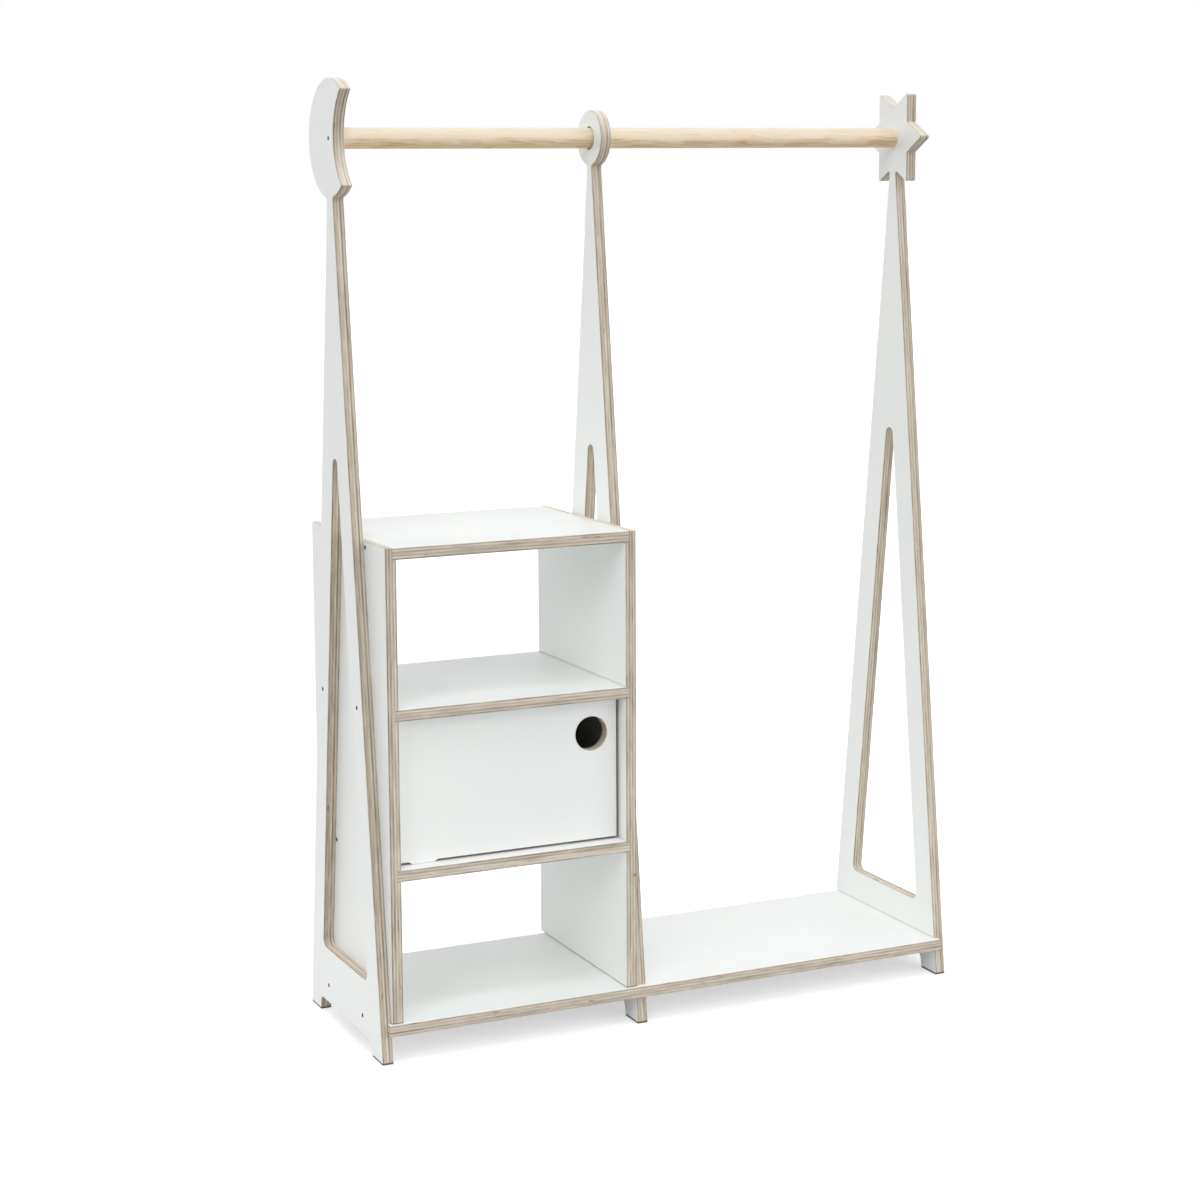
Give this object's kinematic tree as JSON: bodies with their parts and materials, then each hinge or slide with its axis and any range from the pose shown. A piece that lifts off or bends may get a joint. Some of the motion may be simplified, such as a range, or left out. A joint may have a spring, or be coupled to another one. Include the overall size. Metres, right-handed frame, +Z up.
{
  "type": "kids wardrobe",
  "caption": "Open children's clothes rack with a hanging rod on tapered uprights cut as moon, ring and star, and a small cabinet with a pivot-hung door.",
  "frame": {"origin": "on the floor, in the middle of the object's width and depth, under the hanging rod", "axes": "+Z up, +X to the star upright seen from the front, the front faces -Y"},
  "size_m": [1, 0.332, 1.4674],
  "materials": {
    "plywood_upright": "white laminate, bare ply edges",
    "plywood_front": "white laminate, bare ply edges",
    "plywood_board": "white laminate, bare ply edges",
    "back_board": "white laminate",
    "stop_wood": "sanded plywood",
    "rod_wood": "oiled pine",
    "screw_steel": "black",
    "bright_steel": "brushed",
    "magnet": "nickel plated",
    "bush_plastic": "matt",
    "felt": "dark felt"
  },
  "bodies": {
    "carcass": {"moon_frame": "plywood_upright", "ring_frame": "plywood_upright", "star_frame": "plywood_upright", "cabinet_left_side": "plywood_upright", "cabinet_right_side": "plywood_upright", "base_board": "plywood_board", "cabinet_top": "plywood_board", "upper_shelf": "plywood_board", "lower_shelf": "plywood_board", "back_panel": "back_board", "door_stop": "stop_wood", "hanging_rod": "rod_wood", "rod_screws": "screw_steel", "base_screws": "screw_steel", "cabinet_screws": "screw_steel", "frame_screws": "screw_steel", "underside_screws": "screw_steel", "catch_magnet": "magnet", "pivot_bushes": "bush_plastic", "foot_glides": "felt"},
    "door": {"door_panel": "plywood_front", "pivot_pins": "bright_steel", "catch_plate": "bright_steel"}
  },
  "joints": [
    {"name": "door_pivot", "type": "hinge", "parent": "carcass", "child": "door", "pos_m": [-0.419, -0.127, 0.409], "axis": [0, 0, -1], "range_deg": [0, 130]}
  ]
}
